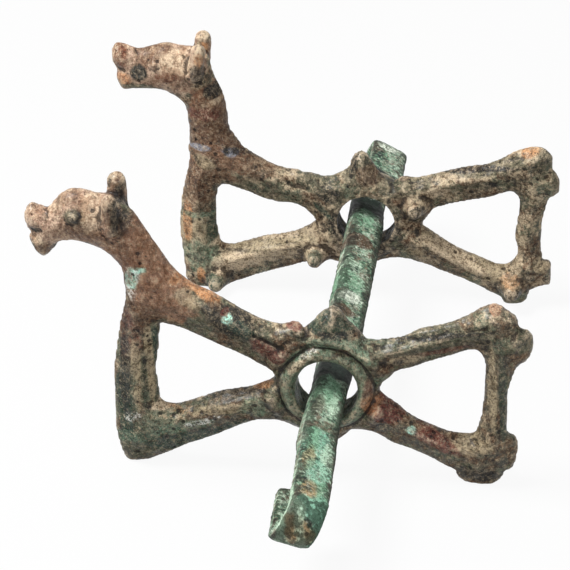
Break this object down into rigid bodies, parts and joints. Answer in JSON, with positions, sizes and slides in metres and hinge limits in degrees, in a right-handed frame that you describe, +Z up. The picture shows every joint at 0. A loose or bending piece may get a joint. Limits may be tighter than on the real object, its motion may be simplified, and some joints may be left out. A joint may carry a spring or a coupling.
{
  "type": "horse bit",
  "caption": "Cast bronze horse bit: a straight bar with oppositely rolled ends carries openwork cheekpieces shaped as stylised horses, which turn freely on it.",
  "frame": {"origin": "middle of the footprint, on the ground", "axes": "+X towards the horses' rumps, +Y along the bar away from the near cheekpiece, +Z up"},
  "size_m": [0.1266, 0.1798, 0.0802],
  "materials": {
    "mouthpiece_bronze": "corroded cast bronze under a bright green crust with whitish and brown patches",
    "cheekpiece_bronze": "corroded cast bronze, brown to olive black, with tan soil, dark red and pale green spots"
  },
  "bodies": {
    "mouthpiece": {"mouthpiece": "mouthpiece_bronze"},
    "near_cheekpiece": {"near_cheekpiece": "cheekpiece_bronze"},
    "far_cheekpiece": {"far_cheekpiece": "cheekpiece_bronze"}
  },
  "joints": [
    {"name": "near_cheekpiece_swivel", "type": "hinge", "parent": "mouthpiece", "child": "near_cheekpiece", "pos_m": [0.01125, -0.03185, 0.025], "axis": [0, 1, 0], "continuous": true},
    {"name": "far_cheekpiece_swivel", "type": "hinge", "parent": "mouthpiece", "child": "far_cheekpiece", "pos_m": [0.01215, 0.05765, 0.0241], "axis": [0, 1, 0], "continuous": true}
  ]
}
